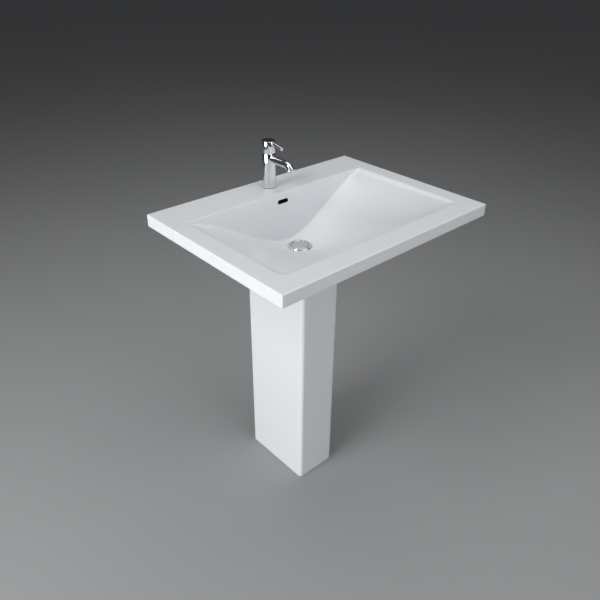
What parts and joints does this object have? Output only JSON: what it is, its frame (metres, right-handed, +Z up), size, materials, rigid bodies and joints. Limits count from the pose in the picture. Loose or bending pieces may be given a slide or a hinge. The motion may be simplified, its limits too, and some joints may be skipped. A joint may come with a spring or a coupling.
{
  "type": "pedestal sink",
  "caption": "Rectangular pedestal basin with a sloping bowl, pin-lever mixer tap, push plug waste, overflow and bottle trap on a plain square column.",
  "frame": {"origin": "on the floor under the middle of the basin's plan", "axes": "+Z up, +Y towards the wall, +X to the right of a person facing the basin"},
  "size_m": [0.65, 0.48, 0.97],
  "materials": {
    "china": "gloss",
    "chrome": "polished",
    "brass": "machined",
    "copper": "drawn tube",
    "rubber": "matt",
    "trap_plastic": "satin",
    "cartridge_plastic": "satin",
    "indicator": "gloss"
  },
  "bodies": {
    "sink": {"basin": "china", "pedestal": "china", "pedestal_pads": "rubber", "tap_base_seal": "rubber", "tap_body": "chrome", "spout": "chrome", "aerator_sleeve": "chrome", "aerator_insert": "cartridge_plastic", "cartridge_housing": "cartridge_plastic", "cartridge_nut": "brass", "fixing_stud": "brass", "fixing_rubber": "rubber", "fixing_washer": "chrome", "fixing_nut": "brass", "tail_hot": "copper", "tail_cold": "copper", "tail_nuts": "brass", "valve_body_hot": "brass", "valve_body_cold": "brass", "inlet_nuts": "brass", "waste_body": "chrome", "waste_top_seal": "rubber", "waste_bottom_seal": "rubber", "waste_back_nut": "chrome", "plug_guide": "brass", "trap_inlet_nut": "trap_plastic", "trap_inlet_seal": "rubber", "trap_body": "trap_plastic", "trap_dip_tube": "trap_plastic", "trap_cup": "trap_plastic", "trap_cup_seal": "rubber", "trap_outlet_nut": "trap_plastic", "trap_outlet_seal": "rubber", "outlet_pipe": "trap_plastic"},
    "mixer_turn": {"cartridge_rotor": "cartridge_plastic", "hinge_pin": "chrome"},
    "handle": {"cartridge_stem": "brass", "handle_drum": "chrome", "handle_lever": "chrome", "handle_grub_screw": "chrome", "indicator_plug": "indicator"},
    "plug": {"plug_head": "chrome", "plug_seal": "rubber", "plug_spindle": "chrome"},
    "hot_stop": {"valve_ball_hot": "chrome", "valve_spindle_hot": "brass"},
    "cold_stop": {"valve_ball_cold": "chrome", "valve_spindle_cold": "brass"}
  },
  "joints": [
    {"name": "handle_turn", "type": "hinge", "parent": "sink", "child": "mixer_turn", "pos_m": [0, 0.19, 0.94], "axis": [0, 0, 1], "range_deg": [-45, 45]},
    {"name": "handle_lift", "type": "hinge", "parent": "mixer_turn", "child": "handle", "pos_m": [0, 0.19, 0.95], "axis": [-1, 0, 0], "range_deg": [0, 20]},
    {"name": "plug_lift", "type": "slide", "parent": "sink", "child": "plug", "axis": [0, 0, 1], "range_m": [0, 0.009]},
    {"name": "hot_stop_turn", "type": "hinge", "parent": "sink", "child": "hot_stop", "pos_m": [-0.032, 0.186, 0.45], "axis": [0, 1, 0], "range_deg": [0, 90]},
    {"name": "cold_stop_turn", "type": "hinge", "parent": "sink", "child": "cold_stop", "pos_m": [0.032, 0.186, 0.45], "axis": [0, 1, 0], "range_deg": [0, 90]}
  ]
}
